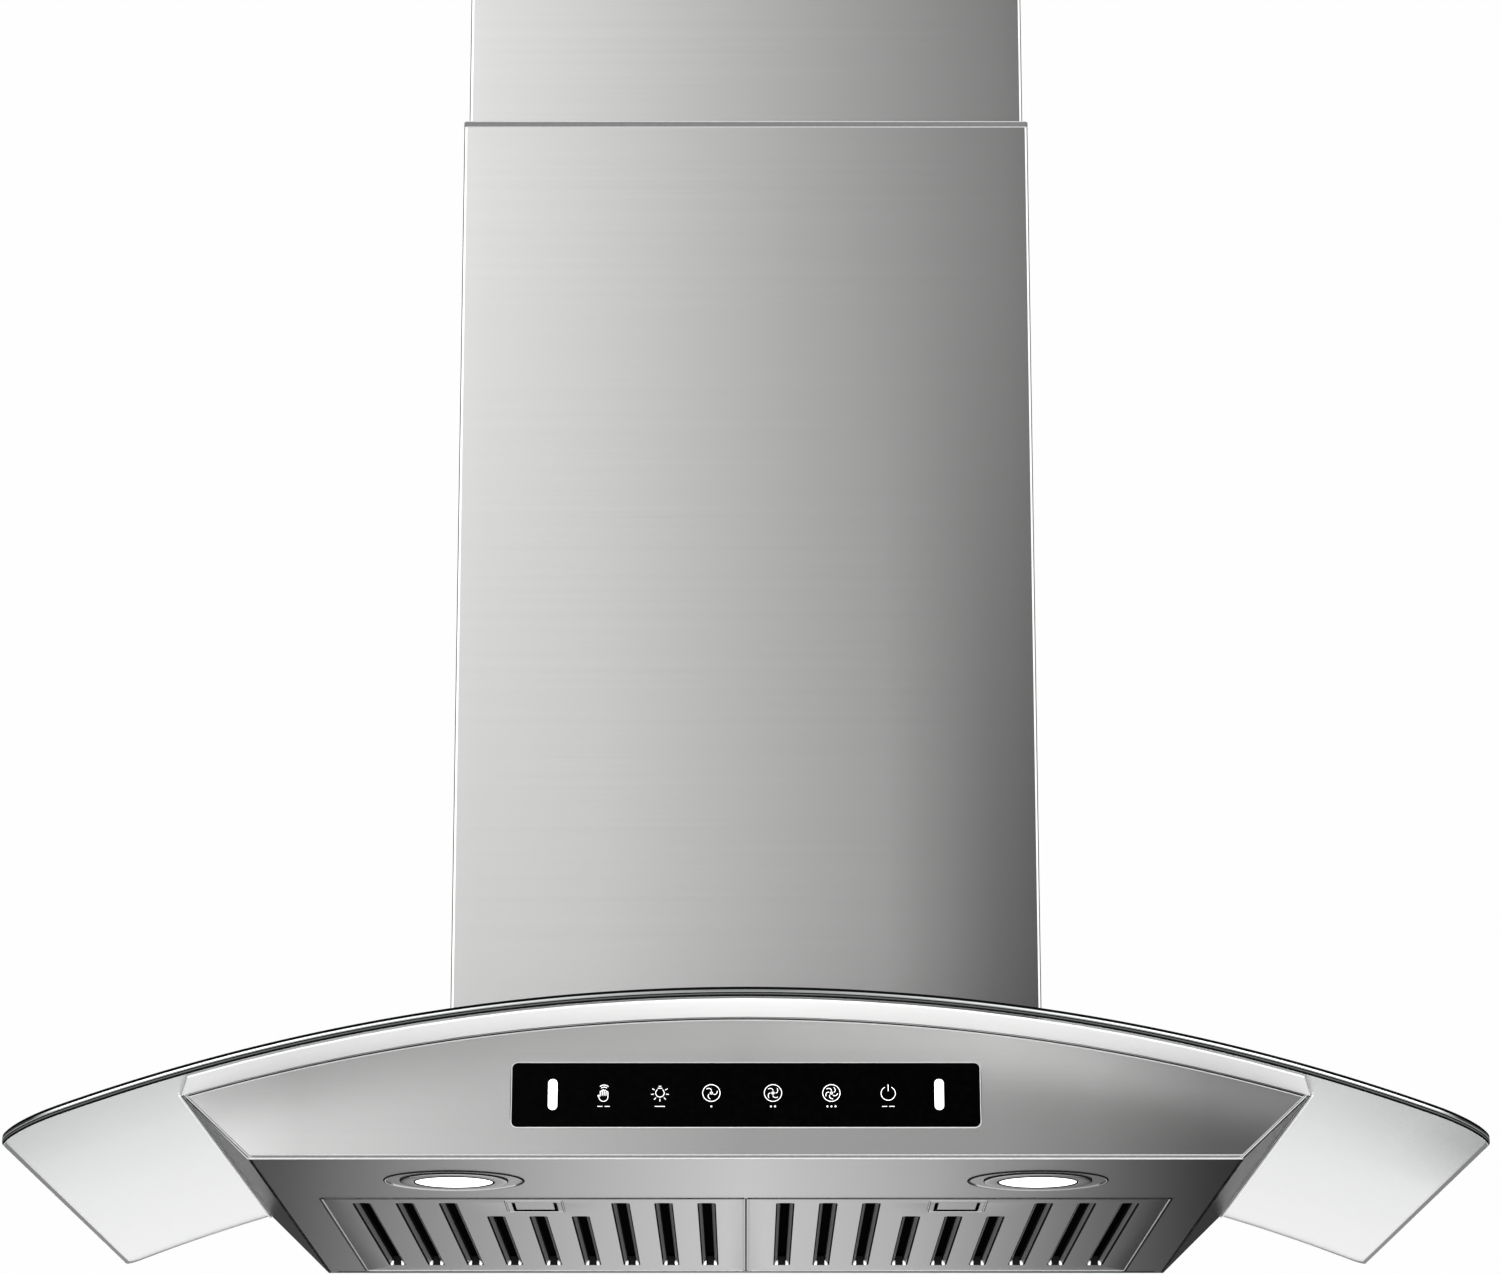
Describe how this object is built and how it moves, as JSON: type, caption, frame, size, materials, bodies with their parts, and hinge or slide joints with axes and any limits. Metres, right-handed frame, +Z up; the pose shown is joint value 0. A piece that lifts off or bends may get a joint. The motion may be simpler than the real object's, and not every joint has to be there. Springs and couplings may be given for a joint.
{
  "type": "island range hood",
  "caption": "Ceiling-hung island range hood: curved glass canopy over a steel body with touch panel, lamps and baffle filters, and a telescoping chimney round its blower and frame.",
  "frame": {"origin": "centre of the ceiling plate's top face, on the chimney's middle line", "axes": "+Z up to the ceiling, +Y from the control panel to the back, +X to the right as the cook faces the panel"},
  "size_m": [0.762, 0.5293, 0.8712],
  "materials": {
    "body_steel": "brushed along the width",
    "chimney_steel": "brushed across",
    "filter_steel": "brushed, satin",
    "white_lacquer": "bright satin strip under the front edge of the glass",
    "polished_steel": "polished",
    "galvanised_steel": "zinc coated",
    "clear_glass": "clear, tempered",
    "black_glass": "high gloss",
    "sensor_white": "lit, diffusing",
    "lamp_lens": "lit, frosted",
    "aluminium": "satin",
    "green_board": "solder mask",
    "black_plastic": "moulded",
    "white_plastic": "moulded",
    "rubber": "matte",
    "motor_steel": "lacquered"
  },
  "bodies": {
    "hood": {"blower_box": "galvanised_steel", "capacitor": "white_plastic", "ceiling_plate": "galvanised_steel", "control_bezel": "polished_steel", "control_board": "green_board", "control_board_cover": "black_plastic", "control_panel_glass": "black_glass", "damper_rod": "polished_steel", "frame_brace_front": "galvanised_steel", "frame_brace_rear": "galvanised_steel", "frame_extension_front_left": "galvanised_steel", "frame_extension_front_right": "galvanised_steel", "frame_extension_rear_left": "galvanised_steel", "frame_extension_rear_right": "galvanised_steel", "frame_post_front_left": "galvanised_steel", "frame_post_front_right": "galvanised_steel", "frame_post_rear_left": "galvanised_steel", "frame_post_rear_right": "galvanised_steel", "front_glass_flange": "white_lacquer", "front_panel": "body_steel", "glass_canopy": "clear_glass", "junction_box": "galvanised_steel", "junction_box_cover": "galvanised_steel", "left_glass_gasket": "rubber", "left_lamp_bezel": "polished_steel", "left_lamp_housing": "aluminium", "left_lamp_lens": "lamp_lens", "left_scroll_half": "galvanised_steel", "left_sensor_window": "sensor_white", "left_side_panel": "body_steel", "lower_chimney_front": "chimney_steel", "lower_chimney_rear": "chimney_steel", "motor": "motor_steel", "motor_bracket": "galvanised_steel", "mounting_ring": "galvanised_steel", "outlet_collar": "black_plastic", "rear_panel": "body_steel", "right_glass_gasket": "rubber", "right_lamp_bezel": "polished_steel", "right_lamp_housing": "aluminium", "right_lamp_lens": "lamp_lens", "right_scroll_half": "galvanised_steel", "right_sensor_window": "sensor_white", "right_side_panel": "body_steel", "top_plate": "body_steel", "underside_panel": "body_steel"},
    "left_filter": {"left_filter_face": "filter_steel", "left_filter_back": "filter_steel"},
    "right_filter": {"right_filter_face": "filter_steel", "right_filter_back": "filter_steel"},
    "left_latch": {"left_latch_handle": "filter_steel"},
    "right_latch": {"right_latch_handle": "filter_steel"},
    "blower_wheel": {"impeller": "aluminium", "motor_shaft": "polished_steel"},
    "left_flap": {"left_damper_flap": "aluminium"},
    "right_flap": {"right_damper_flap": "aluminium"},
    "upper_chimney": {"upper_chimney_front": "chimney_steel", "upper_chimney_rear": "chimney_steel"}
  },
  "joints": [
    {"name": "left_filter_swing", "type": "hinge", "parent": "hood", "child": "left_filter", "pos_m": [-0.11645, 0.2306, -0.869], "axis": [1, 0, 0], "range_deg": [0, 75]},
    {"name": "left_latch_slide", "type": "slide", "parent": "left_filter", "child": "left_latch", "axis": [0, 1, 0], "range_m": [0, 0.006], "stiffness_N_per_m": 300, "springref_m": -0.004},
    {"name": "right_filter_swing", "type": "hinge", "parent": "hood", "child": "right_filter", "pos_m": [0.11645, 0.2306, -0.869], "axis": [1, 0, 0], "range_deg": [0, 75]},
    {"name": "right_latch_slide", "type": "slide", "parent": "right_filter", "child": "right_latch", "axis": [0, 1, 0], "range_m": [0, 0.006], "stiffness_N_per_m": 300, "springref_m": -0.004},
    {"name": "blower_spin", "type": "hinge", "parent": "hood", "child": "blower_wheel", "pos_m": [0, -0.022, -0.683], "axis": [1, 0, 0], "continuous": true},
    {"name": "left_flap_lift", "type": "hinge", "parent": "hood", "child": "left_flap", "pos_m": [0, 0, -0.482], "axis": [0, 1, 0], "range_deg": [0, 78]},
    {"name": "right_flap_lift", "type": "hinge", "parent": "hood", "child": "right_flap", "pos_m": [0, 0, -0.482], "axis": [0, -1, 0], "range_deg": [0, 78]},
    {"name": "upper_chimney_slide", "type": "slide", "parent": "hood", "child": "upper_chimney", "axis": [0, 0, -1], "range_m": [0, 0.2]}
  ]
}
